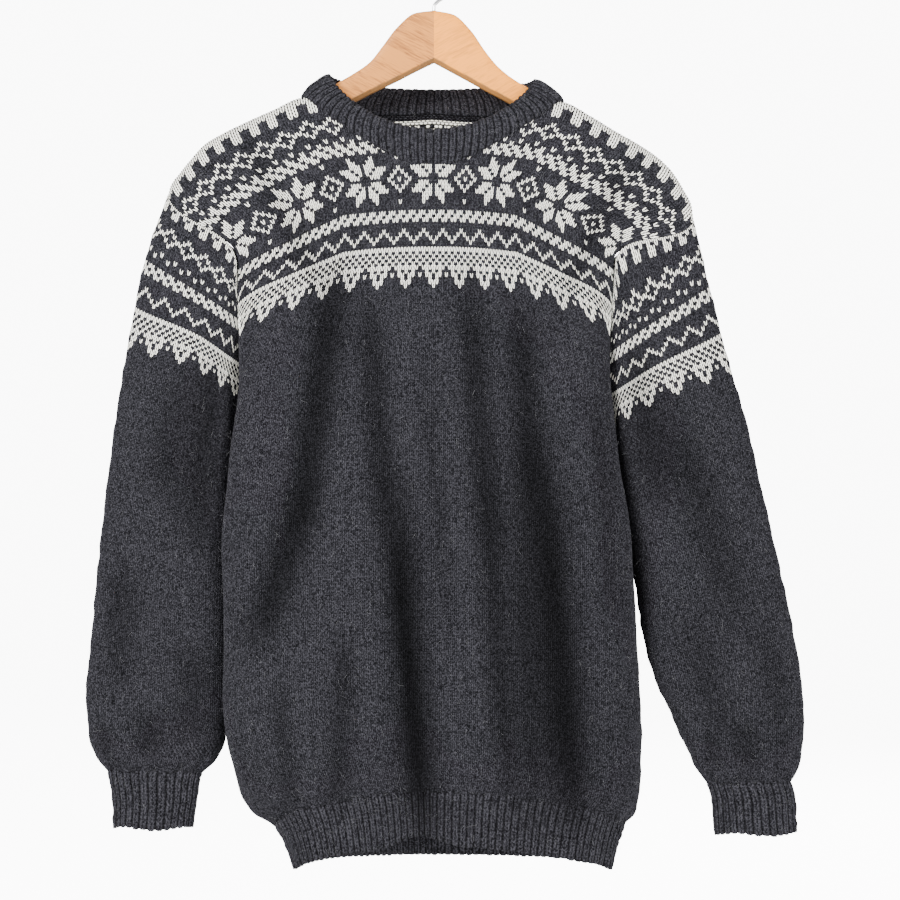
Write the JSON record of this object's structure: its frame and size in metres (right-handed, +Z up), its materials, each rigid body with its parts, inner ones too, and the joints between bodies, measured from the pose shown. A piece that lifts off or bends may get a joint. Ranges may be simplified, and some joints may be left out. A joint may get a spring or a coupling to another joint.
{
  "type": "sweater on hanger",
  "caption": "Fair isle pullover hanging on a plain wooden hanger: dark ground, light patterned yoke and upper sleeves, ribbed neckband, cuffs and hem, all open.",
  "frame": {"origin": "inside of the top of the hook's bend, where it rests on a rail", "axes": "+Z up, front towards -Y, +X to the right as seen from the front"},
  "size_m": [0.716, 0.1128, 0.9223],
  "materials": {
    "knit": "stranded stocking stitch in dark grey wool with an undyed white pattern",
    "ribbing": "one by one rib in dark grey wool",
    "wood_pale": "satin lacquer",
    "wood_warm": "satin lacquer",
    "steel": "bright drawn wire"
  },
  "bodies": {
    "root": {"front_panel": "knit", "back_panel": "knit", "left_sleeve": "knit", "right_sleeve": "knit", "left_cuff": "ribbing", "right_cuff": "ribbing", "neckband": "ribbing", "hem_rib": "ribbing", "hanger_left": "wood_pale", "hanger_right": "wood_warm", "hook": "steel"}
  },
  "joints": []
}
